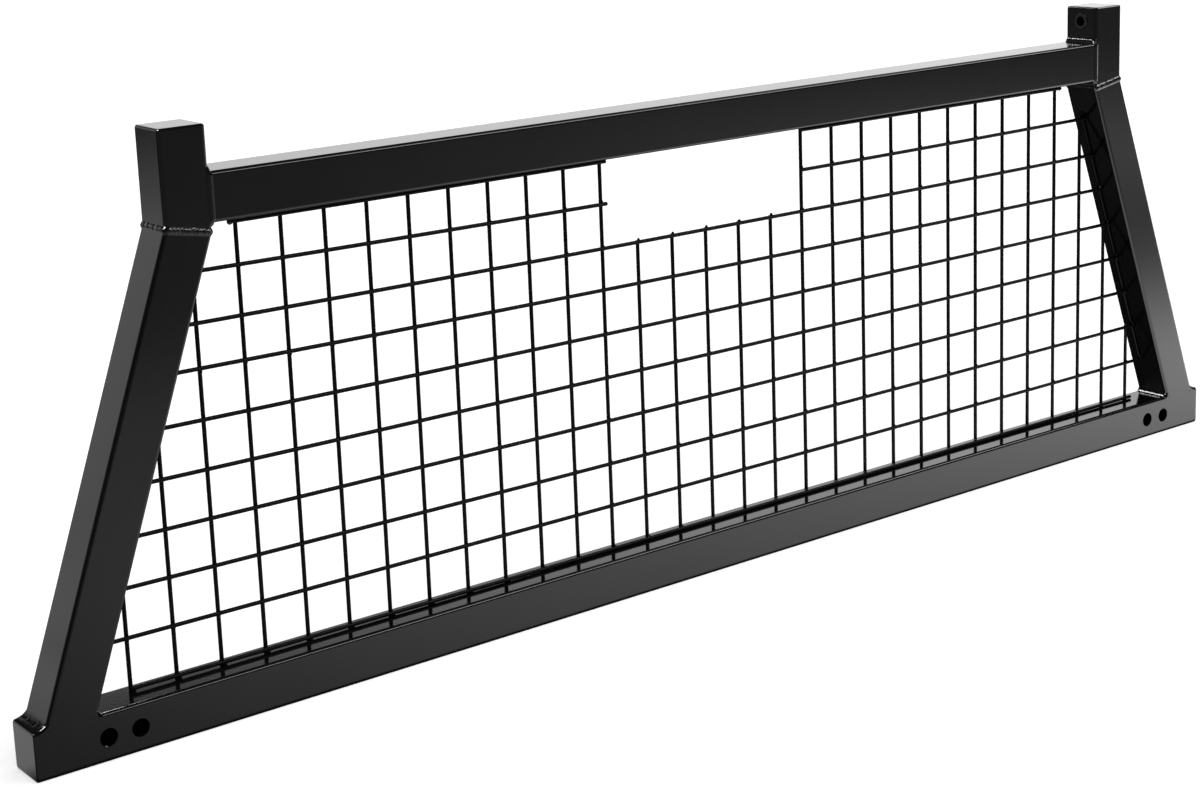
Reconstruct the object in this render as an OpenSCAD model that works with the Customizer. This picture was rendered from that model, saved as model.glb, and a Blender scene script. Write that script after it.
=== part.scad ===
// Truck headache rack: a welded square-tube frame with a wire mesh behind the cab window.
// X runs along the rack, the front faces -Y, and the bottom rail stands on z = 0.
// Everything is symmetric about x = 0 apart from how far the trimmed wires reach into the window.

/* [Frame tube] */
// Outside size of the square tube that rails, posts and stubs are cut from
tube = 50.8; // [40:0.2:64]
// Wall of the tube
wall = 3; // [2:0.25:5]
// Outside radius of the tube's long edges
corner = 4; // [3:0.25:8]
// Thickness of the plates that close the open tube ends
cap_t = 3; // [2:0.5:6]
// Radius to which the closed ends are ground off all round
end_round = 2.4; // [0.6:0.2:3]

/* [Frame layout] */
// From the outermost upright wire to the post's inner face, on top of the bottom rail
foot_gap = 51.5; // [20:0.5:90]
// How far each post's foot stands in from the end of the bottom rail
post_inset = 12.5; // [6:0.5:40]
// How far each post leans in on its way up to the top rail
lean = 165; // [60:1:220]
// Height of the stubs above the top rail
stub_rise = 47; // [35:1:120]

/* [Mesh] */
// Spacing of the wires, both ways
pitch = 50.8; // [40:0.2:60]
// Diameter of the mesh wires and of the side rods
wire_d = 3.8; // [3:0.1:6]
// Openings of the mesh along the rack, an even number
mesh_cols = 30; // [20:2:30]
// Openings of the mesh from rail to rail
mesh_rows = 9; // [6:1:9]
// From the frame's front face to the plane in which the crossing wires touch
mesh_back = 32; // [14:0.5:40]
// How far the top cross wire hangs below the top rail
top_drop = 5; // [0.5:0.5:12]
// How far the unbroken cross wires above the bottom one stand above even spacing
row_rise = 2; // [0:0.5:4]
// How far a trimmed wire passes the middle of the last wire that it crosses
wire_nub = 1.4; // [0.2:0.2:6]
// How far the top and bottom cross wires pass the last upright wire
cross_nub = 7; // [3:0.5:12]
// How far a side rod passes the second cross wire from the top
rod_nub = 8; // [2:0.5:20]

/* [Window] */
// Openings of the mesh that the window leaves out along the rack, an even number
window_cols = 6; // [2:2:12]
// Openings of the mesh that the window leaves out downwards
window_rows = 2; // [1:1:2]
// How far the wires left of the window reach into it, past the middle of its side wire
window_stub = 5.5; // [2:0.5:12]

/* [Holes and grommets] */
// Diameter of the mounting holes through the bottom rail
bolt_d = 19; // [8:0.5:24]
// From the end of the bottom rail to the outer hole
bolt_end = 76; // [40:1:140]
// Distance between the two holes of a pair
bolt_gap = 34; // [26:1:80]
// Diameter of the wiring hole in each stub's inner wall
wiring_d = 16; // [10:0.5:20]
// From the top of a stub to its wiring hole
wiring_drop = 19; // [15:0.5:30]
// How far the rubber grommet's lips reach past the hole
lip_reach = 2.5; // [1:0.25:4]
// Thickness of each grommet lip
lip_t = 1.6; // [1:0.1:3]
// Thickness of the rubber between the hole and the grommet's bore
grommet_t = 1.5; // [1:0.25:3]

/* [Welds] */
// How far the fillet weld outside a post's foot reaches along the bottom rail
foot_leg = 11; // [4:0.5:12]
// How far the same weld climbs the post
foot_rise = 6.5; // [3:0.5:14]
// Leg of the fillet weld on the inside of a post's foot
heel_leg = 5; // [3:0.5:12]
// How far the welds above and below the top rail's ends climb the stub and drop down it
rail_leg = 6; // [3:0.5:12]
// How far the same welds reach along the top rail
rail_reach = 3; // [1.5:0.5:8]
// Width of the bead round the joint of post and stub
bead_w = 8; // [4:0.5:14]
// Height of that bead above the tube
bead_h = 2; // [0.5:0.1:3]
// Distance between two ripples of a weld
ripple = 4; // [2.5:0.1:8]
// Height of the bead round the top rail's ends where it lies flat at the front and back
groove_h = 0.8; // [0.4:0.1:1.2]
// Leg of the small tack welds behind the ends of the upright wires
tack_leg = 1.4; // [0.6:0.2:3]

/* [Hidden] */
$fn = 48;
// Air between a flush-ground weld and the face of the tube, and beside trimmed wire ends
flush = 0.06;
trim_gap = 0.3;
// Air between the grommet and the tube
fit_gap = 0.1;
// Air under the toe of the bead round the top rail, as the stub's edge is rounder than the bead
toe_gap = 0.35;
// Steps of a ripple, and the share of a weld's size that a ripple moves
ripple_steps = 3;
ripple_depth = 0.16;
// Where the root of the bead round the top rail lies in the groove, as shares of the tube's corner:
// along the rail, and deep under its face
groove_in = 0.26;
groove_deep = 0.14;
// How far a foot weld's face is drawn in towards the corner, as a share of its thickness
foot_hollow = 0.3;
// Thickness of the slices that a round rim is hulled from, and the steps of its quarter round
slice = 0.01;
rim_steps = 4;
// Longer than anything that is cut with it
far = 4 * tube;

inner_corner = max(corner - wall, 0.5);
wire_r = wire_d / 2;
// Clear height between the rails, which the mesh fills from wire to wire
gap = mesh_rows * pitch + wire_d;
joint_z = tube + gap;
top_z = joint_z + tube + stub_rise;
slant = atan(lean / gap);
post_w = tube / cos(slant);
mesh_half = mesh_cols * pitch / 2;
// Half widths: post's inner and outer face on the rail, end of the rail, faces of the stub
heel_x = mesh_half + foot_gap;
foot_x = heel_x + post_w;
rail_half = foot_x + post_inset;
stub_x = foot_x - lean;
stub_in = stub_x - tube;
// A foot weld stays on the bottom rail, and the weld under the top rail stays off the mitre's bead
foot_toe = min(foot_leg, post_inset - 1);
under_leg = min(rail_leg, tube * tan(slant / 2) - bead_w / 2 - flush);
flat = tube - 2 * corner;
// The crossing wires touch in this plane: cross wires in front of it, uprights behind it
mesh_y = mesh_back - tube / 2;
cross_y = mesh_y - wire_r;
upright_y = mesh_y + wire_r;
window_half = window_cols * pitch / 2;

// Height of cross wire j, counted from the top, and place of upright wire i, counted from the left
function even_z(j) = tube + wire_r + (mesh_rows - j) * pitch;
function row_z(j) =
    j == 0 ? joint_z - wire_r - top_drop
    : even_z(j) + (j > window_rows && j < mesh_rows ? row_rise : 0);
function col_x(i) = (i - mesh_cols / 2) * pitch;
// Post's inner face at height z, and the side rod's centre line along it
function face_x(z) = heel_x - (z - tube) * tan(slant);
function rod_x(z) = face_x(z) - wire_r / cos(slant);
// Highest point at which an upright wire at x stays clear of the side rod
function rod_clear(x) = tube + (heel_x - x - wire_r - wire_d / cos(slant) - trim_gap) / tan(slant);
function in_window(i) = abs(i - mesh_cols / 2) < window_cols / 2;
function under_rail(x) = x + wire_r < stub_in - rail_leg && rod_clear(x) > joint_z;
// The first row that an upright wire outside the top rail's reach can be trimmed at
function trim_row(x, j = 1) = j == mesh_rows || row_z(j) <= rod_clear(x) ? j : trim_row(x, j + 1);
function trimmed_z(x) = min(row_z(trim_row(x)) + wire_nub, rod_clear(x));
function upright_top(i) =
    in_window(i) ? row_z(window_rows) + wire_nub
    : under_rail(abs(col_x(i))) ? joint_z
    : trimmed_z(abs(col_x(i)));
// The outermost upright wire that still reaches the top rail
function last_under(i = 0) = under_rail(abs(col_x(i))) ? -col_x(i) : last_under(i + 1);
function cross_end(j) =
    j == 0 ? last_under() + cross_nub
    : j == mesh_rows ? mesh_half + cross_nub
    : face_x(row_z(j) + wire_r) - trim_gap;

function upright_name(i) = str("upright_wire_", i + 1);
function cross_name(j, side = "") = str("cross_wire_", j + 1, side);
FRAME_NODES = ["bottom_rail", "left_rail_cap", "right_rail_cap", "left_post", "right_post",
    "left_stub", "right_stub", "left_stub_cap", "right_stub_cap", "top_rail",
    "left_grommet", "right_grommet", "left_side_rod", "right_side_rod",
    "foot_welds", "shoulder_welds", "mesh_tack_welds"];
UPRIGHT_NODES = [for (i = [0 : mesh_cols]) upright_name(i)];
CROSS_NODES = [for (j = [window_rows : mesh_rows]) cross_name(j)];
TRIMMED_NODES = [for (j = [0 : window_rows - 1], side = ["_left", "_right"]) cross_name(j, side)];

// ---- Shared shapes ----

// Square with rounded corners, centred
module rounded_square(size, r) {
    straight = size - 2 * r;
    square([size, straight], center = true);
    square([straight, size], center = true);
    for (x = [-1, 1], y = [-1, 1])
        translate([x, y] * straight / 2) circle(r);
}

module tube_section() {
    difference() {
        rounded_square(tube, corner);
        rounded_square(tube - 2 * wall, inner_corner);
    }
}

// Plate that closes a tube's end, its outer rim ground round: thin slices follow the quarter round
module end_plate() {
    r = min(end_round, cap_t - slice);
    hull() {
        linear_extrude(slice) rounded_square(tube, corner);
        for (i = [0 : rim_steps])
            let (a = 90 * i / rim_steps, inset = r * (1 - cos(a)))
            translate([0, 0, cap_t - slice - r * (1 - sin(a))])
                linear_extrude(slice) rounded_square(tube - 2 * inset, corner - inset);
    }
}

// Turns a shape that stands along Z so that it runs along X, its own X across the rack
module along_x(x, z) {
    translate([x, 0, z]) rotate([90, 0, 90]) children();
}

// Everything above the mitre between the right post and its stub
module above_mitre() {
    translate([stub_x, 0, joint_z])
        rotate([0, -slant / 2, 0])
            translate([-far / 2, -far / 2, 0])
                cube(far);
}

// The right post's slanted bar, longer than the post at both ends; its children are the section
module leaning_bar() {
    translate([foot_x, 0, tube])
        rotate([0, -slant, 0])
            translate([-tube / 2, 0, -tube / 2])
                linear_extrude(gap / cos(slant) + tube)
                    children();
}

// A round wire from a to b
module wire(a, b, d = wire_d) {
    v = b - a;
    translate(a)
        rotate([0, acos(v.z / norm(v)), atan2(v.y, v.x)])
            cylinder(d = d, h = norm(v));
}

module both_sides() {
    children();
    mirror([1, 0, 0]) children();
}

// ---- Rippled weld beads ----
// A bead is a row of stations: [root, toe a, toe b, crown], each a point in space. The toes lie on
// the two tubes, the root in the corner between them, and the crown bulges out of their chord.

// Sawtooth of the ripples at distance s along the bead, from 0 to 1
function ripple_at(s) = 1 - (s / ripple - floor(s / ripple));

// Solid through the stations; a closed bead joins its last station to its first
module bead(stations, closed = false) {
    n = len(stations);
    m = len(stations[0]);
    last = closed ? n - 1 : n - 2;
    sides = [for (i = [0 : last], k = [0 : m - 1])
        let (a = i * m, b = ((i + 1) % n) * m, l = (k + 1) % m)
        each [[a + k, b + k, b + l], [a + k, b + l, a + l]]];
    ends = closed ? [] : [[for (k = [0 : m - 1]) k], [for (k = [m - 1 : -1 : 0]) (n - 1) * m + k]];
    polyhedron([for (st = stations) each st], concat(sides, ends), convexity = 6);
}

// ---- Frame ----

module bottom_rail() {
    color("#202124")
        difference() {
            along_x(-rail_half + cap_t, tube / 2)
                linear_extrude(2 * (rail_half - cap_t)) tube_section();
            both_sides() bolt_holes();
        }
}

// The right pair of mounting holes, drilled through the front and the back wall
module bolt_holes() {
    for (x = [0, bolt_gap])
        translate([rail_half - bolt_end - x, far / 2, tube / 2])
            rotate([90, 0, 0]) cylinder(d = bolt_d, h = far);
}

module right_rail_cap() {
    color("#202124") along_x(rail_half - cap_t, tube / 2) end_plate();
}

module left_rail_cap() {
    mirror([1, 0, 0]) right_rail_cap();
}

// The leaning bar cut flat on the bottom rail
module post_blank() {
    difference() {
        leaning_bar() children();
        translate([foot_x - far / 2, -far / 2, tube - far]) cube(far);
    }
}

module right_post() {
    color("#1c1d20")
        difference() {
            post_blank() tube_section();
            above_mitre();
        }
}

module left_post() {
    mirror([1, 0, 0]) right_post();
}

// Upright end of the post above the mitre, with the wiring hole in its inner wall
module right_stub() {
    color("#1c1d20")
        difference() {
            intersection() {
                translate([stub_x - tube / 2, 0, joint_z - tube])
                    linear_extrude(top_z - cap_t - joint_z + tube) tube_section();
                above_mitre();
            }
            translate([stub_in - wall, 0, top_z - wiring_drop])
                rotate([0, 90, 0]) cylinder(d = wiring_d, h = 3 * wall);
        }
}

module left_stub() {
    mirror([1, 0, 0]) right_stub();
}

module right_stub_cap() {
    color("#202124") translate([stub_x - tube / 2, 0, top_z - cap_t]) end_plate();
}

module left_stub_cap() {
    mirror([1, 0, 0]) right_stub_cap();
}

// Butted between the stubs, its underside level with the outer corner of the mitres
module top_rail() {
    color("#1c1d20")
        along_x(-stub_in, joint_z + tube / 2)
            linear_extrude(2 * stub_in) tube_section();
}

// Rubber grommet: two lips and the neck between them, turned round its bore
module right_grommet() {
    bore_r = wiring_d / 2 - grommet_t;
    neck_r = wiring_d / 2 - fit_gap;
    lip_r = wiring_d / 2 + lip_reach;
    color("#101010")
        translate([stub_in, 0, top_z - wiring_drop])
            rotate([0, 90, 0])
                rotate_extrude()
                    polygon([
                        [bore_r, -lip_t], [lip_r - lip_t / 2, -lip_t],
                        [lip_r, -lip_t / 2], [lip_r, -fit_gap],
                        [neck_r, -fit_gap], [neck_r, wall + fit_gap], [lip_r, wall + fit_gap],
                        [lip_r - lip_t / 2, wall + lip_t], [bore_r, wall + lip_t]
                    ]);
}

module left_grommet() {
    mirror([1, 0, 0]) right_grommet();
}

// ---- Welds of the frame ----

// How far the tube's rounded edges lie inside its flats at distance y from the middle of its depth
function edge_drop(y) =
    let (past = min(max(abs(y) - flat / 2, 0), corner))
    corner - sqrt(corner * corner - past * past);

// Where the post's face, running on down, meets the rail at depth y; side is 1 outside, -1 inside
function foot_root(face, side, y) = face + edge_drop(y) * (tan(slant) - side / cos(slant));

// Hollow fillet between the rail and one face of the post, over the whole depth of the tubes
module foot_bead(face, side, leg, rise, depth) {
    n = round(depth / ripple) * ripple_steps;
    bead([for (i = [0 : n])
        let (
            y = side * depth * (0.5 - i / n),
            k = 1 - ripple_depth * ripple_at(depth * i / n),
            root = [foot_root(face, side, y), y, tube - edge_drop(y)],
            rail_toe = [face + side * k * leg, y, root.z],
            post_toe = root + [-sin(slant), 0, cos(slant)] * (k * rise + edge_drop(y) / cos(slant)),
            middle = (rail_toe + post_toe) / 2
        )
        [root, rail_toe, middle + (root - middle) * foot_hollow, post_toe]]);
}

// Fills the rail's rounded edge under the front of the post
module foot_filler(depth) {
    from_x = foot_root(heel_x, -1, depth / 2) + flush;
    to_x = foot_x - edge_drop(depth / 2) / cos(slant) - flush;
    along_x(from_x, tube - corner) linear_extrude(to_x - from_x)
        translate([-flat / 2, 0]) difference() {
            translate([-corner + flush, 0]) square([corner - flush, corner]);
            circle(corner);
        }
}

// Fillets on both sides of the post's foot, with the filled edges between them
module right_foot_weld() {
    depth = tube - 2 * flush;
    foot_bead(foot_x, 1, foot_toe, foot_rise, depth);
    foot_bead(heel_x, -1, heel_leg, heel_leg, depth);
    for (side = [0, 1])
        mirror([0, side, 0]) foot_filler(depth);
}

module foot_welds() {
    color("#2a2b2e") both_sides() right_foot_weld();
}

// Point t of the way round the tube's outline, from 0 to 1, with its outward normal
function outline(t, r = corner, size = tube) =
    let (
        straight = size - 2 * r,
        arc = r * PI / 2,
        s = (t - floor(t)) * 4 * (straight + arc),
        side = floor(s / (straight + arc)),
        rest = s - side * (straight + arc),
        on_arc = rest > straight,
        turn = on_arc ? (rest - straight) / arc * 90 : 0,
        x = size / 2 - r,
        p = on_arc ? [x, x] + r * [cos(turn), sin(turn)] : [size / 2, rest - x],
        n = on_arc ? [cos(turn), sin(turn)] : [1, 0]
    )
    [spin(p, 90 * side), spin(n, 90 * side)];

function spin(p, a) = [p.x * cos(a) - p.y * sin(a), p.x * sin(a) + p.y * cos(a)];

// Stations of a bead that runs once round the tube, a whole number of ripples
function bead_stations() = round((4 * flat + 2 * PI * corner) / ripple) * ripple_steps;

// Bead round the mitre: one toe up the stub, the other down the post
module right_mitre_weld() {
    n = bead_stations();
    down = [sin(slant), 0, -cos(slant)];
    bead([for (i = [0 : n - 1])
        let (
            o = outline(i / n, corner + fit_gap, tube + 2 * fit_gap),
            x = stub_x - tube / 2 + o[0].x,
            root = [x, o[0].y, joint_z + (x - stub_x) * tan(slant / 2)],
            leg = bead_w / 2 * (1 - ripple_depth * ripple_at(i * ripple / ripple_steps)),
            crown = [o[1].x, o[1].y, 0] * bead_h * leg / bead_w * 2
        )
        [root, root + [0, 0, leg], root + crown, root + down * leg]],
        closed = true);
}

// Station of the bead round the top rail's end, at share t of the way round. Above and below it is a
// fillet, and at the front and back it lies flat and fills the groove along the stub's rounded edge.
function rail_station(t, s) =
    let (
        o = outline(t, corner + fit_gap, tube + 2 * fit_gap),
        n = o[1],
        k = 1 - ripple_depth * ripple_at(s),
        leg = k * (bead_w / 2 + (rail_reach - bead_w / 2) * abs(n.y)),
        rise = o[0] + n * k * (n.y < 0 ? under_leg : rail_leg),
        past = abs(rise.x) - tube / 2 - fit_gap,
        toe_x = edge_drop(rise.x) + (past > 0 ? min(past, flush) : -toe_gap),
        toe_y = past > 0 ? sign(rise.x) * (tube / 2 + fit_gap) : rise.x,
        drop = edge_drop(o[0].x),
        root = o[0] + n * (flush - drop * groove_deep),
        middle = [(toe_x - leg) / 2, (o[0].x + toe_y) / 2, (o[0].y + rise.y) / 2]
    )
    [for (q = [
        [-leg, o[0].x, o[0].y],
        [-fit_gap, o[0].x, o[0].y],
        [drop * groove_in, root.x, root.y],
        [toe_x, toe_y, rise.y],
        middle + [-abs(n.y), n.x, n.y] * k * groove_h
    ]) [stub_in, 0, joint_z + tube / 2] + q];

module right_rail_weld() {
    n = bead_stations();
    bead([for (i = [0 : n - 1]) rail_station(i / n, i * ripple / ripple_steps)], closed = true);
}

module shoulder_welds() {
    color("#2a2b2e") both_sides() {
        right_mitre_weld();
        right_rail_weld();
    }
}

// ---- Mesh ----

module upright_wire(i) {
    color("#141516")
        wire([col_x(i), upright_y, tube], [col_x(i), upright_y, upright_top(i)]);
}

module cross_wire(j, from_x, to_x) {
    color("#141516")
        wire([from_x, cross_y, row_z(j)], [to_x, cross_y, row_z(j)]);
}

// Rod along the post's inner face, which the trimmed cross wires end on
module right_side_rod() {
    low = row_z(mesh_rows - 1) - wire_nub;
    high = row_z(1) + rod_nub;
    color("#141516")
        wire([rod_x(low), upright_y, low], [rod_x(high), upright_y, high]);
}

module left_side_rod() {
    mirror([1, 0, 0]) right_side_rod();
}

// Half round fillet behind a wire that stands on z = 0
module tack() {
    rotate_extrude(angle = 180)
        polygon([[wire_r, 0], [wire_r + tack_leg, 0], [wire_r, tack_leg]]);
}

// Every upright wire is tacked to the bottom rail, and to the top rail where it reaches that
module mesh_tack_welds() {
    color("#2a2b2e")
        for (i = [0 : mesh_cols]) {
            translate([col_x(i), upright_y, tube]) tack();
            if (upright_top(i) == joint_z)
                translate([col_x(i), upright_y, joint_z]) mirror([0, 0, 1]) tack();
        }
}

// ---- Parts ----

bottom_rail();
left_rail_cap();
right_rail_cap();
left_post();
right_post();
left_stub();
right_stub();
left_stub_cap();
right_stub_cap();
top_rail();
left_grommet();
right_grommet();
left_side_rod();
right_side_rod();
foot_welds();
shoulder_welds();
mesh_tack_welds();
for (i = [0 : mesh_cols])
    upright_wire(i);
for (j = [window_rows : mesh_rows])
    cross_wire(j, -cross_end(j), cross_end(j));
for (j = [0 : window_rows - 1]) {
    cross_wire(j, -cross_end(j), window_stub - window_half);
    cross_wire(j, window_half - wire_r, cross_end(j));
}
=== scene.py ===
# %% [markdown]
# # Headache rack: from bare tubes to a powder-coated truck accessory
# A headache rack guards the cab's rear window against what slides forward on the bed. It is welded
# from square tube, filled with welded wire mesh, and then powder coated gloss black all over. The
# solids carry the tubes, wires and welds. This lesson gives them their coat, dresses the welds with
# real ripples, and lights the rack on a white sweep.

# %% Load the frame
from math import atan2, cos, e, log, pi, radians, sin, tan

import bpy
from mathutils import Matrix, Vector


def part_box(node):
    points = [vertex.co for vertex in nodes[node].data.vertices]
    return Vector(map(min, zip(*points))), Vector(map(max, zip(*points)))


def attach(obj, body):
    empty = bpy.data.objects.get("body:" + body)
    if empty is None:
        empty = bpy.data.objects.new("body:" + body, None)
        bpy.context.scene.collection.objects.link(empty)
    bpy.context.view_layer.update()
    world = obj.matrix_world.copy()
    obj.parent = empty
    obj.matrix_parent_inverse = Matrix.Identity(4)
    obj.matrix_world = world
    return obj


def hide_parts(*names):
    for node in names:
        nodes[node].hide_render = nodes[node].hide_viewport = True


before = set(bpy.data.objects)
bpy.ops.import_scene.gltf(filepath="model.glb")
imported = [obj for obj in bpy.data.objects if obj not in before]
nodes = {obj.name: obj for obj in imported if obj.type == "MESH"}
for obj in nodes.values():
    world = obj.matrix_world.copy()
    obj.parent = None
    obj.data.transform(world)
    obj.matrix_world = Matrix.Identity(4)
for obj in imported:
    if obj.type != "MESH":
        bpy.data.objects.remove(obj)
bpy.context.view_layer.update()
BODY = "root"
MM = 0.001

# %% [markdown]
# Every size that the dressing needs is read off the parts themselves, so the dressing stays in place
# if a tube or a wire changes. A part's box gives its lowest and highest corner. The tube is as tall
# as the top rail, and a wire is as thick as a cross wire's box. Only the tube's rounded corner can't
# be read off a box, so it is a value of its own.

# %% Measure the parts
def low(name):
    return Vector(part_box(name)[0])


def high(name):
    return Vector(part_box(name)[1])


def middle(name):
    return (low(name) + high(name)) / 2


TUBE = high("top_rail").z - low("top_rail").z
WIRE = high("cross_wire_10").z - low("cross_wire_10").z
JOINT_Z = low("top_rail").z
STUB_IN = high("top_rail").x
STUB_X = STUB_IN + TUBE
FOOT_X = high("right_post").x
SLANT = atan2(FOOT_X - STUB_X, JOINT_Z - TUBE)
HEEL_X = FOOT_X - TUBE / cos(SLANT)
CORNER = 4 * MM
print("tube", round(TUBE, 4), "wire", round(WIRE, 4), "shoulder height", round(JOINT_Z, 4))

# %% [markdown]
# ## The coat's surface
# Powder coat flows out smooth but never flat: it keeps a fine ripple that painters call orange peel,
# and here and there a speck of dust. Three finishes here need it, so it is one node group with named
# inputs. It puts out a height for a Bump node and a mask of specks for the roughness.

# %% Node helpers
def add_node(tree, kind, **values):
    """A new node with its properties set from lower-case names and its inputs from the rest."""
    node = tree.nodes.new(kind)
    for name, value in values.items():
        if name in node.inputs:
            node.inputs[name].default_value = value
        else:
            setattr(node, name, value)
    return node


def group_socket(tree, name, direction, kind="NodeSocketFloat", value=None):
    """Declares an input or output of a group."""
    socket = tree.interface.new_socket(name=name, in_out=direction, socket_type=kind)
    if value is not None:
        socket.default_value = value
    return socket


def math_node(tree, operation, first, second=None):
    """A Math node whose inputs are numbers or sockets; returns its output."""
    node = add_node(tree, "ShaderNodeMath", operation=operation)
    for index, value in enumerate((first, second)):
        if isinstance(value, (int, float)):
            node.inputs[index].default_value = value
        elif value is not None:
            tree.links.new(value, node.inputs[index])
    return node.outputs[0]


# %% Orange peel group
BROAD_WAVES = 9.0
DUST_PER_METRE = 420.0
DUST_SIZE = 0.12
DUST_CHANCE = 0.07


def orange_peel_group():
    tree = bpy.data.node_groups.new("orange_peel", "ShaderNodeTree")
    group_socket(tree, "Ripples per metre", "INPUT", value=260.0)
    group_socket(tree, "Speck share", "INPUT", value=0.5)
    group_socket(tree, "Height", "OUTPUT")
    group_socket(tree, "Specks", "OUTPUT")
    inside = add_node(tree, "NodeGroupInput")
    outside = add_node(tree, "NodeGroupOutput")
    link = tree.links.new
    place = add_node(tree, "ShaderNodeTexCoord").outputs["Object"]
    fine = add_node(tree, "ShaderNodeTexNoise", Detail=2.0)
    link(place, fine.inputs["Vector"])
    link(inside.outputs["Ripples per metre"], fine.inputs["Scale"])
    broad = add_node(tree, "ShaderNodeTexNoise", Scale=BROAD_WAVES, Detail=1.0)
    link(place, broad.inputs["Vector"])
    waves = math_node(tree, "MULTIPLY", broad.outputs["Fac"], 2.0)
    link(math_node(tree, "ADD", fine.outputs["Fac"], waves), outside.inputs["Height"])
    dots = add_node(tree, "ShaderNodeTexVoronoi", Scale=DUST_PER_METRE)
    link(place, dots.inputs["Vector"])
    near = math_node(tree, "LESS_THAN", dots.outputs["Distance"], DUST_SIZE)
    chosen = math_node(tree, "GREATER_THAN", dots.outputs["Color"], 1 - DUST_CHANCE)
    specks = math_node(tree, "MULTIPLY", near, chosen)
    link(math_node(tree, "MULTIPLY", specks, inside.outputs["Speck share"]), outside.inputs["Specks"])
    return tree


ORANGE_PEEL = orange_peel_group()
print("group", ORANGE_PEEL.name, "with", len(ORANGE_PEEL.nodes), "nodes")

# %% [markdown]
# ## Finishes
# The frame, the wires and the welds hang in the booth together and get one black, but the coat lies
# differently on each: smooth and wet-looking on the flat tube, duller on the wires, and glossy but
# uneven over the welds, where the bead's scale shows through. The grommets are moulded rubber.

# %% Coated steel
PEEL_DEPTH = 0.4 * MM
COAT_IOR = 1.52


def coated_steel(name, colour, roughness, ripples, bump, specks, patchy, ior=COAT_IOR):
    """Black powder coat: ripples to the metre, how deep they are, and how much its gloss wanders."""
    material = bpy.data.materials.new(name)
    material.use_nodes = True
    tree = material.node_tree
    shader = tree.nodes["Principled BSDF"]
    shader.inputs["IOR"].default_value = ior
    peel = add_node(tree, "ShaderNodeGroup", node_tree=ORANGE_PEEL)
    peel.inputs["Ripples per metre"].default_value = ripples
    peel.inputs["Speck share"].default_value = specks
    lumps = add_node(tree, "ShaderNodeBump", Strength=bump, Distance=PEEL_DEPTH)
    tree.links.new(peel.outputs["Height"], lumps.inputs["Height"])
    tree.links.new(lumps.outputs["Normal"], shader.inputs["Normal"])
    place = add_node(tree, "ShaderNodeTexCoord")
    clouds = add_node(tree, "ShaderNodeTexNoise", Scale=14.0, Detail=3.0)
    tree.links.new(place.outputs["Object"], clouds.inputs["Vector"])
    spread = math_node(tree, "MULTIPLY", clouds.outputs["Fac"], patchy)
    wet = math_node(tree, "ADD", spread, roughness - patchy / 2)
    tree.links.new(math_node(tree, "ADD", wet, peel.outputs["Specks"]), shader.inputs["Roughness"])
    tint = add_node(tree, "ShaderNodeValToRGB")
    tint.color_ramp.elements[0].position = 0.3
    tint.color_ramp.elements[0].color = (*[c * 0.8 for c in colour], 1)
    tint.color_ramp.elements[1].position = 0.7
    tint.color_ramp.elements[1].color = (*[c * 1.2 for c in colour], 1)
    tree.links.new(clouds.outputs["Fac"], tint.inputs["Fac"])
    tree.links.new(tint.outputs["Color"], shader.inputs["Base Color"])
    return material


BLACK = (0.003, 0.003, 0.0034)
WIRE_BLACK = (0.0025, 0.0025, 0.003)
TUBE_COAT = coated_steel("tube_coat", BLACK, roughness=0.1, ripples=260.0, bump=0.07, specks=0.08,
                         patchy=0.04)
WIRE_COAT = coated_steel("wire_coat", WIRE_BLACK, roughness=0.25, ripples=420.0, bump=0.1,
                         specks=0.05, patchy=0.06, ior=1.2)
WELD_COAT = coated_steel("weld_coat", BLACK, roughness=0.07, ripples=600.0, bump=0.2, specks=0.1,
                         patchy=0.05)
print("coats", TUBE_COAT.name, WIRE_COAT.name, WELD_COAT.name)


# %% Moulded rubber
def moulded_rubber(name, colour):
    material = bpy.data.materials.new(name)
    material.use_nodes = True
    tree = material.node_tree
    shader = tree.nodes["Principled BSDF"]
    place = add_node(tree, "ShaderNodeTexCoord")
    grain = add_node(tree, "ShaderNodeTexNoise", Scale=1400.0, Detail=2.0)
    tree.links.new(place.outputs["Object"], grain.inputs["Vector"])
    lumps = add_node(tree, "ShaderNodeBump", Strength=0.25, Distance=0.0002)
    tree.links.new(grain.outputs["Fac"], lumps.inputs["Height"])
    tree.links.new(lumps.outputs["Normal"], shader.inputs["Normal"])
    bloom = add_node(tree, "ShaderNodeTexNoise", Scale=180.0, Detail=3.0)
    tree.links.new(place.outputs["Object"], bloom.inputs["Vector"])
    dull = math_node(tree, "MULTIPLY", bloom.outputs["Fac"], 0.2)
    tree.links.new(math_node(tree, "ADD", dull, 0.15), shader.inputs["Roughness"])
    tint = add_node(tree, "ShaderNodeValToRGB")
    tint.color_ramp.elements[0].color = (*colour, 1)
    tint.color_ramp.elements[1].color = (*[c * 1.8 for c in colour], 1)
    tree.links.new(bloom.outputs["Fac"], tint.inputs["Fac"])
    tree.links.new(tint.outputs["Color"], shader.inputs["Base Color"])
    return material


RUBBER = moulded_rubber("grommet_rubber", (0.004, 0.004, 0.004))
print("rubber", RUBBER.name)

# %% Hand out the finishes
def finish_for(name):
    if "wire_" in name or "rod" in name:
        return WIRE_COAT
    if "weld" in name:
        return WELD_COAT
    if "grommet" in name:
        return RUBBER
    return TUBE_COAT


for name, part in nodes.items():
    part.data.materials.clear()
    part.data.materials.append(finish_for(name))
print("finishes on", len(nodes), "parts")

# %% [markdown]
# ## The mesh's crossings
# The mesh comes from the mill with every crossing resistance welded: the machine squeezes the wires
# together while current flows, and a little metal is pressed out round the contact. That is one small
# lump, repeated at each crossing. Geometry Nodes place it: a loop finds the crossings from the wires'
# own boxes, the points go in as loose vertices, and the tree puts one lump on each.

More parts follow.
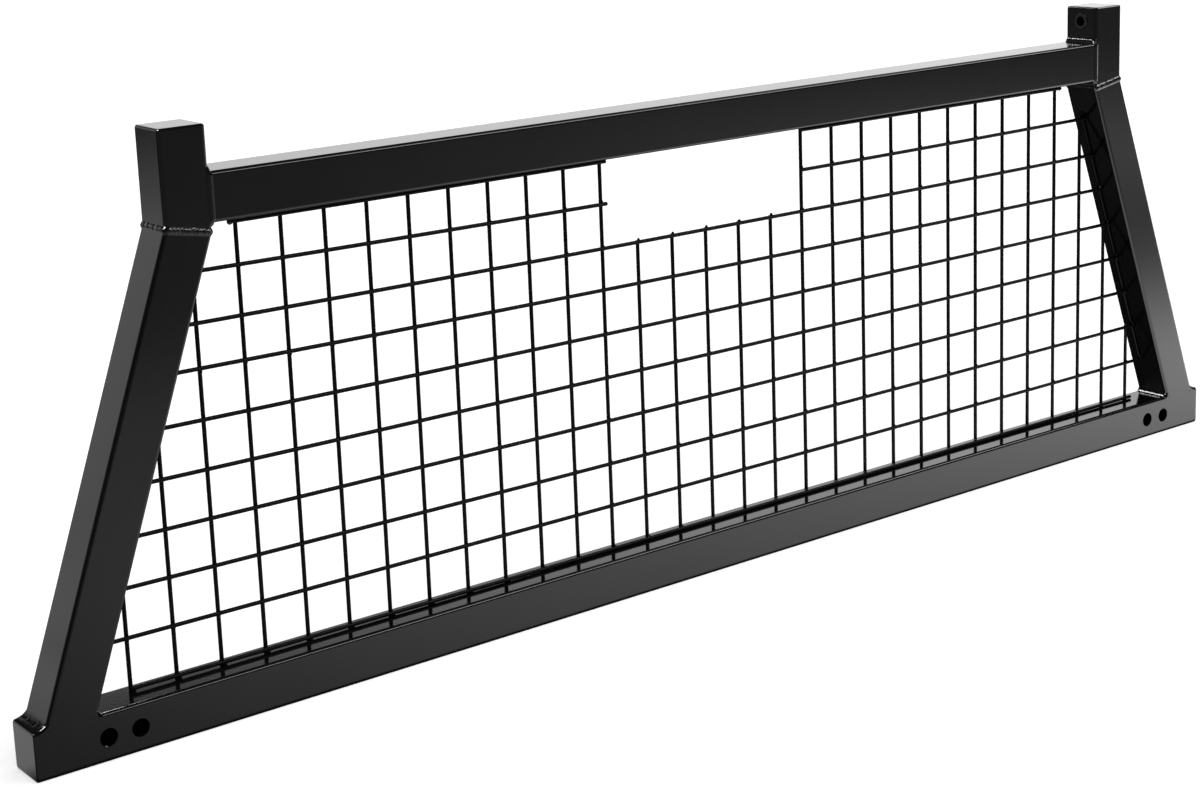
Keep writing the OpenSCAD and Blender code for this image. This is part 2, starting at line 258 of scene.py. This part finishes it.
# %% Find the crossings
uprights = [name for name in nodes if name.startswith("upright_wire_")]
cross_wires = [name for name in nodes if name.startswith("cross_wire_")]
CONTACT_Y = low("upright_wire_1").y
BOTTOM_WIRE = min(cross_wires, key=lambda name: middle(name).z)
FIRST_UPRIGHT = min(uprights, key=lambda name: middle(name).x)


def crossings():
    found = []
    for upright in uprights:
        for cross in cross_wires:
            x, z = middle(upright).x, middle(cross).z
            if low(cross).x - WIRE < x < high(cross).x + WIRE and z < high(upright).z + WIRE:
                found.append((x, CONTACT_Y, z))
    return found


print(len(crossings()), "crossings")

# %% Geometry node helpers
def geometry_tree(name, inputs):
    """A new tree with a geometry input, the named inputs, and a geometry output."""
    tree = bpy.data.node_groups.new(name, "GeometryNodeTree")
    group_socket(tree, "Geometry", "INPUT", "NodeSocketGeometry")
    for label, kind, value in inputs:
        group_socket(tree, label, "INPUT", kind, value)
    group_socket(tree, "Geometry", "OUTPUT", "NodeSocketGeometry")
    return tree, add_node(tree, "NodeGroupInput"), add_node(tree, "NodeGroupOutput")


def made_plain(name, start, tree, values, node):
    """Runs a tree on a mesh or curve, and keeps the result as a plain mesh that rides on the rack."""
    maker = bpy.data.objects.new(name + "_maker", start)
    bpy.context.scene.collection.objects.link(maker)
    modifier = maker.modifiers.new("make", "NODES")
    modifier.node_group = tree
    for item in tree.interface.items_tree:
        if item.in_out == "INPUT" and item.name in values:
            modifier[item.identifier] = values[item.name]
    evaluated = maker.evaluated_get(bpy.context.evaluated_depsgraph_get())
    mesh = bpy.data.meshes.new_from_object(evaluated)
    mesh.name = name
    maker.modifiers.remove(modifier)
    bpy.data.objects.remove(maker)
    piece = bpy.data.objects.new(name, mesh)
    bpy.context.scene.collection.objects.link(piece)
    for polygon in mesh.polygons:
        polygon.use_smooth = True
    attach(piece, BODY)
    if node:
        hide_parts(node)
    return piece


def face_count(pieces):
    return sum(len(piece.data.polygons) for piece in pieces)


# %% Lumps at the crossings
def lump_tree():
    tree, inside, outside = geometry_tree("crossing_lumps", (
        ("Lump size", "NodeSocketFloat", 0.002), ("Coat", "NodeSocketMaterial", None)))
    ball = add_node(tree, "GeometryNodeMeshUVSphere", Segments=8, Rings=6, Radius=1.0)
    points = add_node(tree, "GeometryNodeInstanceOnPoints")
    uneven = add_node(tree, "FunctionNodeRandomValue", data_type="FLOAT_VECTOR", Seed=4)
    uneven.inputs["Min"].default_value = (0.9, 0.75, 1.0)
    uneven.inputs["Max"].default_value = (1.25, 0.95, 1.35)
    size = add_node(tree, "ShaderNodeVectorMath", operation="SCALE")
    real = add_node(tree, "GeometryNodeRealizeInstances")
    coat = add_node(tree, "GeometryNodeSetMaterial")
    link = tree.links.new
    link(inside.outputs["Geometry"], points.inputs["Points"])
    link(ball.outputs["Mesh"], points.inputs["Instance"])
    link(uneven.outputs["Value"], size.inputs[0])
    link(inside.outputs["Lump size"], size.inputs["Scale"])
    link(size.outputs["Vector"], points.inputs["Scale"])
    link(points.outputs["Instances"], real.inputs["Geometry"])
    link(real.outputs["Geometry"], coat.inputs["Geometry"])
    link(inside.outputs["Coat"], coat.inputs["Material"])
    link(coat.outputs["Geometry"], outside.inputs["Geometry"])
    return tree


def loose_points(name, places):
    mesh = bpy.data.meshes.new(name)
    mesh.from_pydata(places, [], [])
    return mesh


LUMPS = lump_tree()
lumps = made_plain("crossing_lumps", loose_points("crossings", crossings()), LUMPS,
                   {"Lump size": 0.55 * WIRE, "Coat": WIRE_COAT}, None)
print(lumps.name, "has", face_count([lumps]), "faces")

# %% [markdown]
# The sheet is then tacked into the frame: one blob of weld where an upright stands on the bottom
# rail, and one where a cross wire ends at a side rod. The same tree puts them down, only larger.

# %% Blobs at the mesh's ends
def end_blobs():
    """Where a wire ends on the frame the welder taps it down with one blob."""
    places = []
    for upright in uprights:
        place = middle(upright)
        inward = 1 if place.x < 0 else -1
        places.append((place.x + inward * 0.5 * WIRE, place.y - 0.4 * WIRE, TUBE + 0.35 * WIRE))
    for cross in cross_wires:
        if cross == BOTTOM_WIRE:
            continue
        y, z = middle(cross).y + 0.4 * WIRE, middle(cross).z
        if "right" not in cross:
            places.append((low(cross).x, y, z))
        if "left" not in cross:
            places.append((high(cross).x, y, z))
    return places


blobs = made_plain("end_blobs", loose_points("ends", end_blobs()), LUMPS,
                   {"Lump size": 0.8 * WIRE, "Coat": WELD_COAT}, None)
print(blobs.name, "has", face_count([blobs]), "faces")

# %% [markdown]
# ## Weld beads
# A welder lays each bead as a row of overlapping puddles. Every puddle freezes as a crescent that
# bows towards where the torch went, and steps down to the next. The beads start as smooth strips: a
# row of stations along the joint, each with its points from one toe to the other. Two attributes
# tell how far along and how far across a point is, and the tree raises the crescents from those.

# %% Strips
ACROSS = 6


def across_points(toe_a, toe_b, bulge):
    """Points from toe to toe, bulging most in the middle, each with its place across from -1 to 1."""
    points = []
    for k in range(ACROSS + 1):
        u = 2 * k / ACROSS - 1
        points.append((toe_a.lerp(toe_b, (u + 1) / 2) + bulge * (1 - u * u), u))
    return points


def strip_mesh(name, rows):
    """Joins rows of stations to strips; each row is a list of stations with their distance along."""
    places, faces, along, across = [], [], [], []
    for stations in rows:
        for side in (1, -1):
            start = len(places)
            for distance, points in stations:
                for place, u in points:
                    places.append((place.x * side, place.y, place.z))
                    along.append(distance)
                    across.append(u)
            for i in range(len(stations) - 1):
                for k in range(ACROSS):
                    a = start + i * (ACROSS + 1) + k
                    b = a + ACROSS + 1
                    corners = (a, a + 1, b + 1, b)
                    faces.append(corners if side == 1 else (a, b, b + 1, a + 1))
    mesh = bpy.data.meshes.new(name)
    mesh.from_pydata(places, [], faces)
    for label, values in (("along", along), ("across", across)):
        mesh.attributes.new(label, "FLOAT", "POINT").data.foreach_set("value", values)
    return mesh


# %% [markdown]
# Two beads go right round the square tube: one on the mitre between post and stub, and one at each
# end of the top rail. One helper walks round the tube's rounded outline, so both follow it. A bead
# starts and ends at the same puddle, which closes the ring.

# %% Way round the tube
def round_the_tube(t, grow):
    """Point at share t of the way round the tube's outline, and the outward direction there."""
    straight, arc = TUBE - 2 * CORNER, CORNER * pi / 2
    s = (t % 1.0) * 4 * (straight + arc)
    side, rest = int(s // (straight + arc)), s % (straight + arc)
    turn = max(rest - straight, 0.0) / CORNER
    outward = Vector((cos(turn), sin(turn)))
    inner = TUBE / 2 - CORNER
    point = Vector((inner, min(rest, straight) - inner)) + outward * (CORNER + grow)
    spun = Matrix.Rotation(side * pi / 2, 2)
    return spun @ point, spun @ outward


ROUND = 4 * (TUBE - 2 * CORNER) + 2 * pi * CORNER
STEP = 0.001
RIPPLE = 0.004
LAP = int(ROUND / RIPPLE) * RIPPLE
STEPS = int(ROUND / RIPPLE) * round(RIPPLE / STEP)
print("a bead round the tube has", int(ROUND / RIPPLE), "puddles")

# %% Bead round the mitre
def mitre_row(leg, height):
    stations = []
    down = Vector((sin(SLANT), 0, -cos(SLANT)))
    for i in range(STEPS + 1):
        point, outward = round_the_tube(i / STEPS, 0.0)
        x = STUB_X - TUBE / 2 + point.x
        root = Vector((x, point.y, JOINT_Z + (x - STUB_X) * tan(SLANT / 2)))
        out = Vector((outward.x, outward.y, 0))
        toes = root + down * leg, root + Vector((0, 0, leg))
        stations.append((i / STEPS * LAP, across_points(*toes, out * height)))
    return stations


# %% Bead round the top rail's end
def edge_drop(y):
    """How far the tube's rounded edge lies inside its face at distance y from the middle."""
    past = min(max(abs(y) - (TUBE / 2 - CORNER), 0.0), CORNER)
    return CORNER - (CORNER * CORNER - past * past) ** 0.5


def rail_end_row(flat_leg, reach, climb, height):
    stations = []
    for i in range(STEPS + 1):
        point, outward = round_the_tube(i / STEPS, 0.0)
        level = abs(outward.y)
        leg = flat_leg + (reach - flat_leg) * level
        rise = point + outward * (climb if outward.y > 0 else 0.6 * climb)
        y = max(min(rise.x, TUBE / 2), -TUBE / 2)
        start = Vector((STUB_IN - leg, point.x, JOINT_Z + TUBE / 2 + point.y))
        end = Vector((STUB_IN + edge_drop(y), y, JOINT_Z + TUBE / 2 + rise.y))
        bulge = Vector((-level, outward.x, outward.y)).normalized() * height
        stations.append((i / STEPS * LAP, across_points(start, end, bulge)))
    return stations


# %% Fillets at the posts' feet
EDGE_GAP = 0.2 * MM


def foot_row(face, side, leg, rise, hollow):
    """The fillet from the rail's top up the post, hollow towards the joint's root."""
    stations = []
    up = Vector((-sin(SLANT), 0, cos(SLANT)))
    depth = TUBE - 2 * EDGE_GAP
    count = int(depth / STEP)
    for i in range(count + 1):
        y = side * depth * (0.5 - i / count)
        drop = edge_drop(y)
        root = Vector((face + drop * (tan(SLANT) - side / cos(SLANT)), y, TUBE - drop))
        rail_toe = Vector((face + side * leg, y, root.z + EDGE_GAP))
        post_toe = root + up * (rise + drop / cos(SLANT)) + Vector((side * EDGE_GAP, 0, 0))
        middle_point = (rail_toe + post_toe) / 2
        bulge = (root - middle_point) * hollow
        stations.append((i * depth / count, across_points(rail_toe, post_toe, bulge)))
    return stations


# %% Ripple tree
def ripple_tree():
    tree, inside, outside = geometry_tree("weld_ripples", (
        ("Ripple length", "NodeSocketFloat", 0.0036), ("Ripple height", "NodeSocketFloat", 0.0005),
        ("Bow", "NodeSocketFloat", 0.003), ("Wobble", "NodeSocketFloat", 0.001),
        ("Coat", "NodeSocketMaterial", None)))
    link = tree.links.new
    fine = add_node(tree, "GeometryNodeSubdivideMesh", Level=1)
    link(inside.outputs["Geometry"], fine.inputs["Mesh"])
    along = add_node(tree, "GeometryNodeInputNamedAttribute", data_type="FLOAT", Name="along")
    across = add_node(tree, "GeometryNodeInputNamedAttribute", data_type="FLOAT", Name="across")
    square = math_node(tree, "MULTIPLY", across.outputs["Attribute"], across.outputs["Attribute"])
    bowed = math_node(tree, "MULTIPLY", square, inside.outputs["Bow"])
    travelled = math_node(tree, "ADD", along.outputs["Attribute"], bowed)
    phase = math_node(tree, "DIVIDE", travelled, inside.outputs["Ripple length"])
    number = math_node(tree, "FLOOR", phase)
    fall = math_node(tree, "SUBTRACT", 1.0, math_node(tree, "FRACT", phase))
    uneven = add_node(tree, "FunctionNodeRandomValue", data_type="FLOAT", Seed=7)
    uneven.inputs[2].default_value = 0.3
    uneven.inputs[3].default_value = 1.7
    link(number, uneven.inputs["ID"])
    crest = math_node(tree, "SUBTRACT", 1.0, square)
    height = math_node(tree, "MULTIPLY", math_node(tree, "MULTIPLY", fall, crest), uneven.outputs[1])
    height = math_node(tree, "MULTIPLY", height, inside.outputs["Ripple height"])
    wobble = add_node(tree, "ShaderNodeTexNoise", Scale=170.0, Detail=1.0)
    link(add_node(tree, "GeometryNodeInputPosition").outputs["Position"], wobble.inputs["Vector"])
    swell = math_node(tree, "MULTIPLY", math_node(tree, "SUBTRACT", wobble.outputs["Fac"], 0.5), crest)
    height = math_node(tree, "ADD", height, math_node(tree, "MULTIPLY", swell, inside.outputs["Wobble"]))
    normal = add_node(tree, "GeometryNodeInputNormal")
    lift = add_node(tree, "ShaderNodeVectorMath", operation="SCALE")
    link(normal.outputs["Normal"], lift.inputs[0])
    link(height, lift.inputs["Scale"])
    move = add_node(tree, "GeometryNodeSetPosition")
    link(fine.outputs["Mesh"], move.inputs["Geometry"])
    link(lift.outputs["Vector"], move.inputs["Offset"])
    real = add_node(tree, "GeometryNodeRealizeInstances")
    link(move.outputs["Geometry"], real.inputs["Geometry"])
    coat = add_node(tree, "GeometryNodeSetMaterial")
    link(real.outputs["Geometry"], coat.inputs["Geometry"])
    link(inside.outputs["Coat"], coat.inputs["Material"])
    link(coat.outputs["Geometry"], outside.inputs["Geometry"])
    return tree


RIPPLES = ripple_tree()

# %% Lay the beads
def lay_beads(name, rows, ripple, wobble, node=None):
    values = {"Ripple length": RIPPLE, "Ripple height": ripple, "Bow": RIPPLE, "Wobble": wobble,
              "Coat": WELD_COAT}
    return made_plain(name, strip_mesh(name + "_strips", rows), RIPPLES, values, node)


mitre = mitre_row(leg=4 * MM, height=1.9 * MM)
rail_end = rail_end_row(flat_leg=4 * MM, reach=3 * MM, climb=6 * MM, height=0.9 * MM)
outer_foot = foot_row(FOOT_X, 1, leg=11 * MM, rise=6.5 * MM, hollow=0.3)
inner_foot = foot_row(HEEL_X, -1, leg=5 * MM, rise=5 * MM, hollow=0.1)
beads = [lay_beads("mitre_beads", [mitre], 0.6 * MM, 1.0 * MM, "shoulder_welds"),
         lay_beads("rail_end_beads", [rail_end], 0.08 * MM, 0.1 * MM),
         lay_beads("foot_beads", [outer_foot, inner_foot], 0.12 * MM, 0.1 * MM)]
print(len(beads), "sets of beads with", face_count(beads), "faces")

# %% [markdown]
# ## Cross wires, as straight as they come
# A rack's mesh is cut from a sheet that was rolled on a coil, and the long wires never lose all of
# that bow: they hang a few millimetres lower in the middle than at the ends. Each cross wire gets a
# path with that bow, at its own height, and the tree sweeps the wire's round section along it.

# %% Swept wire tree
def wire_tree():
    tree, inside, outside = geometry_tree("swept_wire", (
        ("Wire radius", "NodeSocketFloat", 0.0019), ("Coat", "NodeSocketMaterial", None)))
    link = tree.links.new
    path = add_node(tree, "GeometryNodeMeshToCurve")
    link(inside.outputs["Geometry"], path.inputs["Mesh"])
    section = add_node(tree, "GeometryNodeCurvePrimitiveCircle", Resolution=14)
    link(inside.outputs["Wire radius"], section.inputs["Radius"])
    sweep = add_node(tree, "GeometryNodeCurveToMesh")
    sweep.inputs["Fill Caps"].default_value = True
    link(path.outputs["Curve"], sweep.inputs["Curve"])
    link(section.outputs["Curve"], sweep.inputs["Profile Curve"])
    real = add_node(tree, "GeometryNodeRealizeInstances")
    link(sweep.outputs["Mesh"], real.inputs["Geometry"])
    coat = add_node(tree, "GeometryNodeSetMaterial")
    link(real.outputs["Geometry"], coat.inputs["Geometry"])
    link(inside.outputs["Coat"], coat.inputs["Material"])
    link(coat.outputs["Geometry"], outside.inputs["Geometry"])
    return tree


def path_mesh(name, points):
    mesh = bpy.data.meshes.new(name)
    mesh.from_pydata(points, [(i, i + 1) for i in range(len(points) - 1)], [])
    return mesh


SWEPT_WIRE = wire_tree()


# %% [markdown]
# Powder flies to thin things from all sides, so the wires end up with the thickest coat of all, and
# the swept section is thicker than the bare wire by that much. Each row has its own bow, in
# millimetres: how far its ends stand up, how far its middle hangs, and how much its right half lifts.

# %% Bowed cross wires
COAT_BUILD = 0.35 * MM
LOWEST_X, HALF_SPAN = 0.1, 0.8
PATH_STEP = 0.03
BOWS = [(0.0, 0.0, 0.0), (2.6, 2.6, 0.0), (1.0, 2.0, -0.4), (2.6, 1.0, -2.4), (1.6, 1.3, -1.2),
        (1.4, 1.1, -0.6), (1.2, 1.2, -0.2), (1.2, 1.6, -1.2), (0.6, 1.0, -1.8), (1.6, -0.1, -0.4)]


def row_of(name):
    return int(name.split("_")[2]) - 1


def bow(x, row):
    """How far a row's wire stands above its straight line at x."""
    ends, middle_sag, right_lift = BOWS[row]
    share = abs(x - LOWEST_X) / HALF_SPAN
    return (ends * share * share - middle_sag * (1 - share * share) + right_lift * x) * MM


def coated_wire(name, ending, points):
    return made_plain(name + ending, path_mesh(name + "_path", points), SWEPT_WIRE,
                      {"Wire radius": WIRE / 2 + COAT_BUILD, "Coat": WIRE_COAT}, name)


def bowed_wire(name):
    start, end = low(name).x, high(name).x
    if name == BOTTOM_WIRE:
        start = middle(FIRST_UPRIGHT).x - WIRE / 4
    count = max(int((end - start) / PATH_STEP), 4)
    xs = [start + (end - start) * i / count for i in range(count + 1)]
    y, z = middle(name).y, middle(name).z
    return coated_wire(name, "_bowed", [(x, y, z + bow(x, row_of(name))) for x in xs])


bowed = [bowed_wire(name) for name in cross_wires]
print(len(bowed), "cross wires with", face_count(bowed), "faces")

# %% [markdown]
# The uprights stay straight, because they are short. One that ends on a hanging cross wire, as those
# under the window do, ends that much lower.

# %% Coated upright wires
def last_bow(x, top):
    """How far the cross wire that an upright ends on hangs below its straight line there."""
    nearest = min(cross_wires, key=lambda name: abs(middle(name).z - top))
    if abs(middle(nearest).z - top) > 2 * WIRE:
        return 0.0
    return min(bow(x, row_of(nearest)), 0.0)


def coated_upright(name):
    x, y, top = middle(name).x, middle(name).y, high(name).z
    return coated_wire(name, "_coated", [(x, y, low(name).z), (x, y, top + last_bow(x, top))])


coated = [coated_upright(name) for name in uprights]
print(len(coated), "upright wires with", face_count(coated), "faces")

# %% [markdown]
# ## Floor, light and camera
# Gloss black shows nothing but what stands round it. So the rack is lit like a car, by what its coat
# mirrors: a strip of floor before it, a few brighter pools to the sides, and a bright, low backdrop
# behind it. The strip and the pools are painted reflections: no lamp lights them, the floor glows
# with them, and only reflections see that glow. A painted lane of the same glow runs over the floor
# from the left foot to the far left, where the post's outer side mirrors it. Every pool and lane
# has its place on the floor, so it stays there from any side. The helpers draw them as smooth hills
# and steps over a place or a direction.

# %% Bell helper
def bell(tree, first, first_middle, first_width, second=None, second_middle=0.0, second_width=1.0):
    """A smooth hill of height 1 over one or two coordinates."""
    total = None
    hills = (first, first_middle, first_width), (second, second_middle, second_width)
    for value, centre, width in hills:
        if value is None:
            continue
        offset = math_node(tree, "SUBTRACT", value, centre)
        away = math_node(tree, "DIVIDE", offset, width)
        square = math_node(tree, "MULTIPLY", away, away)
        total = square if total is None else math_node(tree, "ADD", total, square)
    return math_node(tree, "EXPONENT", math_node(tree, "MULTIPLY", total, -1.0))


def step(tree, value, start, end):
    """0 before start, 1 after end, smooth between."""
    node = add_node(tree, "ShaderNodeMapRange", interpolation_type="SMOOTHSTEP")
    tree.links.new(value, node.inputs["Value"])
    node.inputs["From Min"].default_value = start
    node.inputs["From Max"].default_value = end
    return node.outputs["Result"]


def fall(tree, value, start, end):
    """1 before start, 0 after end, smooth between."""
    return step(tree, math_node(tree, "MULTIPLY", value, -1.0), -end, -start)


# %% Painted reflection floor group
# Strengths of the painted floor glow, which only reflections see.
PAINTED_FLOOR_GLOW = {"Strip brightness": 1.09, "Rise to the right": 1.2, "Room before": 0.145,
               "Room behind": 0.02, "Right glow": 0.5, "Middle glow": 0.3, "Left glow": 0.75,
               "Far glow": 0.7, "Foot glow": 0.3}
STRIP_Y, STRIP_WIDTH = -0.18, 0.46
STRIP_LEAST, STRIP_MOST = 0.1, 2.6
# Painted pools of glow: middle and width along x, then middle and width along y, in metres.
PAINTED_POOLS = {"Right glow": (2.6, 1.3, -1.8, 1.2), "Middle glow": (-0.3, 0.8, -1.0, 0.6),
         "Left glow": (-1.8, 1.3, 1.2, 2.2), "Foot glow": (-0.92, 0.2, 0.08, 0.3)}

# The painted lane of glow towards the far left, and how far off it starts and ends.
FAR_START, FAR_END, FAR_NEAREST = 0.8, 3.5, 0.1
FAR_FROM_X, FAR_LANE_LEFT, FAR_LANE_RIGHT, FAR_REST = -0.82, (-0.72, -0.6), (-0.52, -0.47), 0.16


def painted_reflection_floor_group():
    """Glow painted on the floor for reflections only: a strip, a lane, pools, the dim room."""
    tree = bpy.data.node_groups.new("mirrored_floor", "ShaderNodeTree")
    for label, value in PAINTED_FLOOR_GLOW.items():
        group_socket(tree, label, "INPUT", value=value)
    group_socket(tree, "Brightness", "OUTPUT")
    light = add_node(tree, "NodeGroupInput").outputs
    outside = add_node(tree, "NodeGroupOutput")
    split = add_node(tree, "ShaderNodeSeparateXYZ")
    tree.links.new(add_node(tree, "ShaderNodeTexCoord").outputs["Object"], split.inputs["Vector"])
    x, y = split.outputs["X"], split.outputs["Y"]

    def plus(first, second):
        return math_node(tree, "ADD", first, second)

    def times(first, second):
        return math_node(tree, "MULTIPLY", first, second)

    def pool(label):
        x_middle, x_width, y_middle, y_width = PAINTED_POOLS[label]
        return times(bell(tree, x, x_middle, x_width, y, y_middle, y_width), light[label])

    along = plus(times(x, light["Rise to the right"]), light["Strip brightness"])
    along = math_node(tree, "MAXIMUM", along, STRIP_LEAST)
    along = math_node(tree, "MINIMUM", along, STRIP_MOST)
    strip = times(bell(tree, y, STRIP_Y, STRIP_WIDTH), along)
    front = plus(plus(strip, pool("Right glow")), pool("Middle glow"))
    # Painted shade: the glow stops just in front of the rail, so the rail's lower edge mirrors a dark
    # floor, standing in for the rail's own shadow.
    front = times(plus(front, light["Room before"]), fall(tree, y, -0.038, -0.028))
    near = plus(pool("Left glow"), pool("Foot glow"))
    distance = math_node(tree, "MAXIMUM", y, FAR_NEAREST)
    sideways = math_node(tree, "DIVIDE", math_node(tree, "SUBTRACT", x, FAR_FROM_X), distance)
    lane = plus(times(step(tree, sideways, *FAR_LANE_LEFT), 1 - FAR_REST), FAR_REST)
    lane = times(lane, fall(tree, sideways, *FAR_LANE_RIGHT))
    far = step(tree, math_node(tree, "LOGARITHM", distance, e), log(FAR_START), log(FAR_END))
    far = times(times(lane, far), light["Far glow"])
    back = plus(math_node(tree, "MAXIMUM", near, far), light["Room behind"])
    back = times(back, step(tree, y, -0.03, 0.03))
    tree.links.new(plus(front, back), outside.inputs["Brightness"])
    return tree


PAINTED_REFLECTION_FLOOR = painted_reflection_floor_group()
print("group", PAINTED_REFLECTION_FLOOR.name, "with", len(PAINTED_REFLECTION_FLOOR.nodes), "nodes")

# %% [markdown]
# For the camera the same floor is white paper. More lamps would make it white too, but they would
# wash the black out. So the paper glows a little for the camera alone, and what is left of its white
# comes from the room's light, which is why the shadow beside the foot stays.

# %% Floor
FLOOR_SIZE = 60.0
PAPER_GLOW = 0.58


def sweep_material(name, glow):
    """White paper for the camera, and for reflections a glow painted on it: the strip, pools and dim
    room.
    """
    material = bpy.data.materials.new(name)
    material.use_nodes = True
    tree = material.node_tree
    shader = tree.nodes["Principled BSDF"]
    shader.inputs["Roughness"].default_value = 0.9
    shader.inputs["Specular IOR Level"].default_value = 0.0
    shader.inputs["Emission Strength"].default_value = 1.0
    path = add_node(tree, "ShaderNodeLightPath")
    mirrored = add_node(tree, "ShaderNodeGroup", node_tree=PAINTED_REFLECTION_FLOOR)
    paper = add_node(tree, "ShaderNodeMix", data_type="RGBA")
    # Painted reflection: for reflections the paper has no colour of its own, so the coat mirrors only
    # the painted glow.
    tree.links.new(path.outputs["Is Glossy Ray"], paper.inputs["Factor"])
    paper.inputs[6].default_value = (0.8, 0.8, 0.8, 1)
    paper.inputs[7].default_value = (0, 0, 0, 1)
    tree.links.new(paper.outputs[2], shader.inputs["Base Color"])
    seen = math_node(tree, "MAXIMUM", path.outputs["Is Camera Ray"], path.outputs["Is Transmission Ray"])
    white = math_node(tree, "MULTIPLY", seen, glow)
    # Painted reflection: the floor glows for reflections alone, with the painted strip, lane and pools.
    dim = math_node(tree, "MULTIPLY", path.outputs["Is Glossy Ray"], mirrored.outputs["Brightness"])
    tree.links.new(math_node(tree, "ADD", white, dim), shader.inputs["Emission Color"])
    return material


def floor(size, glow):
    mesh = bpy.data.meshes.new("floor")
    half = size / 2
    corners = [(-half, -half, 0), (half, -half, 0), (half, half, 0), (-half, half, 0)]
    mesh.from_pydata(corners, [], [(0, 1, 2, 3)])
    mesh.materials.append(sweep_material("floor_paper", glow))
    plane = bpy.data.objects.new("floor", mesh)
    bpy.context.scene.collection.objects.link(plane)
    return plane


print("floor", floor(FLOOR_SIZE, PAPER_GLOW).name)

# %% [markdown]
# The room is white for the camera. In the coat it is dark, except for the backdrop, which is bright
# from the horizon to a third of the way up and grows brighter to the right. For the paper, light
# comes from the front and the right, so the soft shadow falls to the left of the foot.

# %% World
BACKDROP_LIGHT, BACKDROP_RISE = 0.95, 0.45
FAR_LEFT_SHARE = 0.3
ROOM_LIGHT = 0.04
SIDE_LIGHT = 1.4


def white_world(diffuse_strength):
    """White for the camera; in reflections a bright backdrop behind the rack in a dark room."""
    world = bpy.data.worlds.new("studio")
    bpy.context.scene.world = world
    world.use_nodes = True
    tree = world.node_tree
    shade = tree.nodes["Background"]
    shade.inputs["Color"].default_value = (1, 1, 1, 1)
    place = add_node(tree, "ShaderNodeTexCoord")
    split = add_node(tree, "ShaderNodeSeparateXYZ")
    tree.links.new(place.outputs["Generated"], split.inputs["Vector"])
    x, y, z = (split.outputs[axis] for axis in "XYZ")

    def plus(first, second):
        return math_node(tree, "ADD", first, second)

    def times(first, second):
        return math_node(tree, "MULTIPLY", first, second)

    sideways = plus(times(x, BACKDROP_RISE), BACKDROP_LIGHT)
    far_left = plus(times(step(tree, x, -0.8, -0.35), 1 - FAR_LEFT_SHARE), FAR_LEFT_SHARE)
    sheet = times(step(tree, y, 0.1, 0.5), fall(tree, z, 0.3, 0.4))
    mirrored = plus(times(sheet, times(sideways, far_left)), ROOM_LIGHT)
    path = add_node(tree, "ShaderNodeLightPath").outputs
    seen = math_node(tree, "MAXIMUM", path["Is Camera Ray"], path["Is Transmission Ray"])
    glossy = path["Is Glossy Ray"]
    other = math_node(tree, "SUBTRACT", math_node(tree, "SUBTRACT", 1.0, seen), glossy)
    from_right = plus(times(math_node(tree, "SUBTRACT", x, y), SIDE_LIGHT), 1.0)
    from_right = times(math_node(tree, "MAXIMUM", from_right, 0.0), diffuse_strength)
    total = plus(plus(seen, times(glossy, mirrored)), times(other, from_right))
    tree.links.new(total, shade.inputs["Strength"])


white_world(0.72)
print("world", bpy.context.scene.world.name)

# %% [markdown]
# The lamps draw only thin lines: on the rail's top edge, along the beads and on the fillets at the
# feet. They leave the paper alone, so that its shadow stays soft.

# %% Lamps
def soft_light(name, place, target, width, height, power):
    data = bpy.data.lights.new(name, "AREA")
    data.shape = "RECTANGLE"
    data.size = width
    data.size_y = height
    data.energy = power
    lamp = bpy.data.objects.new(name, data)
    lamp.location = place
    lamp.rotation_euler = (Vector(place) - Vector(target)).to_track_quat("Z", "Y").to_euler()
    lamp.visible_diffuse = False
    bpy.context.scene.collection.objects.link(lamp)
    return lamp


LAMPS = {"overhead": ((1.7, -0.6, 2.4), (0.7, 0, 0.3), 3.0, 0.8, 6),
         "front": ((1.9, -1.9, 2.3), (0.9, 0, 0.3), 3.2, 0.5, 40),
         "above_left": ((-1.75, 0, 2.0), (-0.8, 0, 0.1), 1.2, 1.0, 90),
         "above_behind": ((0.05, 1.6, 2.0), (0.75, 0, 0.05), 0.5, 0.4, 15)}
for name, (place, target, width, height, power) in LAMPS.items():
    soft_light(name, place, target, width, height, power)
print(len(LAMPS), "lamps")

# %% Camera
CAMERA_PLACE = (-1.6245, -1.9099, 0.8957)
TURN, DIP, TILT = 37.377, 12.064, -2.129
data = bpy.data.cameras.new("camera")
data.lens = 65.863
data.sensor_width = 36.0
data.shift_x = 0.0013
data.shift_y = -0.1035
data.clip_end = 200.0
camera = bpy.data.objects.new("camera", data)
facing = Matrix.Rotation(radians(-TURN), 4, "Z") @ Matrix.Rotation(radians(90 - DIP), 4, "X")
camera.matrix_world = Matrix.Translation(CAMERA_PLACE) @ facing @ Matrix.Rotation(radians(TILT), 4, "Z")
bpy.context.scene.collection.objects.link(camera)
bpy.context.scene.camera = camera
bpy.context.scene.view_settings.view_transform = "Standard"
print("camera at", CAMERA_PLACE, "lens", round(data.lens, 2), "mm")
